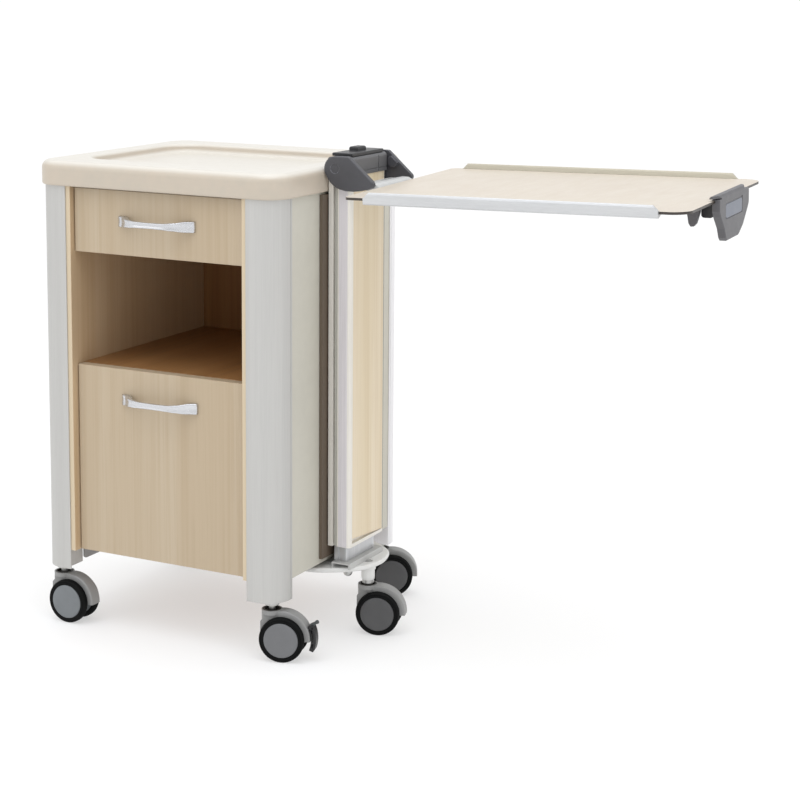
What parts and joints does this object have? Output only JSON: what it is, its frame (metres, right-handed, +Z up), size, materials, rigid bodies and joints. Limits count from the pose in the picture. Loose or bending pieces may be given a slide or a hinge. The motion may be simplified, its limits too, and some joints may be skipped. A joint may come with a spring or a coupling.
{
  "type": "bedside cabinet",
  "caption": "Hospital bedside cabinet on casters with a drawer, open compartment, deep lower drawer and a height-adjustable folding over-bed table on a side mast",
  "frame": {"origin": "centre of the bottom of the whole object's box, on the floor", "axes": "+Z up; the drawers face -Y and open toward -Y; +X points from the cabinet to the free end of the over-bed table"},
  "size_m": [1.1356, 0.4782, 0.8265],
  "materials": {
    "aluminium": "satin anodised",
    "cream_plastic": "fine moulded grain",
    "cream_panel": "smooth laminate",
    "maple_board": "maple decor, satin",
    "steel": "zinc plated",
    "painted_steel": "grey powder coat",
    "cast_foot": "light grey powder coat",
    "dark_plastic": "fine texture",
    "mid_plastic": "fine texture",
    "grip_plastic": "fine texture",
    "laminate_top": "high pressure laminate, fine texture",
    "caster_plastic": "satin",
    "wheel": "black tread, grey hub",
    "black_plastic": "satin",
    "guide_plastic": "smooth",
    "handle_alu": "satin"
  },
  "bodies": {
    "cabinet": {"corner_post_fr": "aluminium", "corner_post_fl": "aluminium", "corner_post_rr": "aluminium", "corner_post_rl": "aluminium", "caster_brackets": "painted_steel", "side_panel_right": "cream_panel", "side_panel_left": "cream_panel", "carcass_side_right": "maple_board", "carcass_side_left": "maple_board", "back_panel": "maple_board", "carcass_bottom": "maple_board", "middle_shelf": "maple_board", "drawer_divider": "maple_board", "top_board": "maple_board", "top_moulding": "cream_plastic", "drawer_slides_fixed": "steel", "mast_foot": "cast_foot", "foot_channel": "aluminium", "foot_cap_nut": "steel", "inner_column": "aluminium", "gas_spring_cylinder": "black_plastic", "caster_stems": "steel"},
    "upper_drawer": {"upper_drawer_front": "maple_board", "upper_drawer_sides": "maple_board", "upper_drawer_back": "maple_board", "upper_drawer_bottom": "maple_board", "upper_handle": "handle_alu", "upper_drawer_runners": "steel"},
    "lower_drawer": {"lower_drawer_front": "maple_board", "lower_drawer_sides": "maple_board", "lower_drawer_back": "maple_board", "lower_drawer_bottom": "maple_board", "lower_handle": "handle_alu", "lower_drawer_runners": "steel"},
    "table_column": {"outer_column": "aluminium", "column_infill": "maple_board", "column_guide": "guide_plastic", "gas_spring_rod": "steel", "head_housing": "mid_plastic", "head_cheeks": "dark_plastic", "hinge_pin": "steel"},
    "release_lever": {"release_lever": "black_plastic"},
    "table_board": {"hinge_leaf": "painted_steel", "tabletop": "laminate_top", "table_rail_front": "aluminium", "table_rail_rear": "aluminium", "end_grip": "grip_plastic", "leaf_bolt": "steel"},
    "height_trigger": {"height_trigger": "black_plastic"},
    "caster_fl_swivel": {"caster_fl_fork": "caster_plastic"},
    "caster_fl_wheel": {"caster_fl_wheels": "wheel"},
    "caster_fr_swivel": {"caster_fr_fork": "caster_plastic"},
    "caster_fr_wheel": {"caster_fr_wheels": "wheel"},
    "caster_rl_swivel": {"caster_rl_fork": "caster_plastic"},
    "caster_rl_wheel": {"caster_rl_wheels": "wheel"},
    "caster_rr_swivel": {"caster_rr_fork": "caster_plastic"},
    "caster_rr_wheel": {"caster_rr_wheels": "wheel"},
    "caster_table_swivel": {"caster_table_fork": "caster_plastic"},
    "caster_table_wheel": {"caster_table_wheels": "wheel"},
    "brake_pedal": {"brake_pedal": "black_plastic"}
  },
  "joints": [
    {"name": "upper_drawer_slide", "type": "slide", "parent": "cabinet", "child": "upper_drawer", "axis": [0, -1, 0], "range_m": [0, 0.28]},
    {"name": "lower_drawer_slide", "type": "slide", "parent": "cabinet", "child": "lower_drawer", "axis": [0, -1, 0], "range_m": [0, 0.28]},
    {"name": "table_height", "type": "slide", "parent": "cabinet", "child": "table_column", "axis": [0, 0, 1], "range_m": [0, 0.3]},
    {"name": "release_lever_lift", "type": "hinge", "parent": "table_column", "child": "release_lever", "pos_m": [-0.08376, -0.01094, 0.8144], "axis": [0, -1, 0], "range_deg": [0, 10], "stiffness_Nm_per_rad": 2, "springref_deg": -6.88},
    {"name": "table_fold", "type": "hinge", "parent": "table_column", "child": "table_board", "pos_m": [-0.00826, -0.00394, 0.77], "axis": [0, 1, 0], "range_deg": [0, 86]},
    {"name": "height_trigger_squeeze", "type": "hinge", "parent": "table_board", "child": "height_trigger", "pos_m": [0.5274, 0.02073, 0.77121], "axis": [-0.0525, 0.9986, 0.0099], "range_deg": [0, 8], "stiffness_Nm_per_rad": 2, "springref_deg": -8.59},
    {"name": "caster_front_left_turn", "type": "hinge", "parent": "cabinet", "child": "caster_fl_swivel", "pos_m": [-0.53726, -0.19904, 0.09], "axis": [0, 0, 1], "continuous": true},
    {"name": "caster_front_left_roll", "type": "hinge", "parent": "caster_fl_swivel", "child": "caster_fl_wheel", "pos_m": [-0.51726, -0.19904, 0.0375], "axis": [0, 1, 0], "continuous": true},
    {"name": "caster_front_right_turn", "type": "hinge", "parent": "cabinet", "child": "caster_fr_swivel", "pos_m": [-0.12026, -0.19904, 0.09], "axis": [0, 0, 1], "continuous": true},
    {"name": "caster_front_right_roll", "type": "hinge", "parent": "caster_fr_swivel", "child": "caster_fr_wheel", "pos_m": [-0.10104, -0.19353, 0.0375], "axis": [-0.2756, 0.9613, 0], "continuous": true},
    {"name": "caster_rear_left_turn", "type": "hinge", "parent": "cabinet", "child": "caster_rl_swivel", "pos_m": [-0.53726, 0.17996, 0.09], "axis": [0, 0, 1], "continuous": true},
    {"name": "caster_rear_left_roll", "type": "hinge", "parent": "caster_rl_swivel", "child": "caster_rl_wheel", "pos_m": [-0.5177, 0.18411, 0.0375], "axis": [-0.2079, 0.9781, 0], "continuous": true},
    {"name": "caster_rear_right_turn", "type": "hinge", "parent": "cabinet", "child": "caster_rr_swivel", "pos_m": [-0.12026, 0.17996, 0.09], "axis": [0, 0, 1], "continuous": true},
    {"name": "caster_rear_right_roll", "type": "hinge", "parent": "caster_rr_swivel", "child": "caster_rr_wheel", "pos_m": [-0.1024, 0.18894, 0.0375], "axis": [-0.4493, 0.8934, 0], "continuous": true},
    {"name": "caster_table_turn", "type": "hinge", "parent": "cabinet", "child": "caster_table_swivel", "pos_m": [-0.04436, -0.01014, 0.09], "axis": [0, 0, 1], "continuous": true},
    {"name": "caster_table_roll", "type": "hinge", "parent": "caster_table_swivel", "child": "caster_table_wheel", "pos_m": [-0.02521, -0.00438, 0.0375], "axis": [-0.2882, 0.9576, 0], "continuous": true},
    {"name": "brake_press", "type": "hinge", "parent": "caster_fr_swivel", "child": "brake_pedal", "pos_m": [-0.05249, -0.17961, 0.0255], "axis": [-0.2756, 0.9613, 0], "range_deg": [0, 12]}
  ]
}
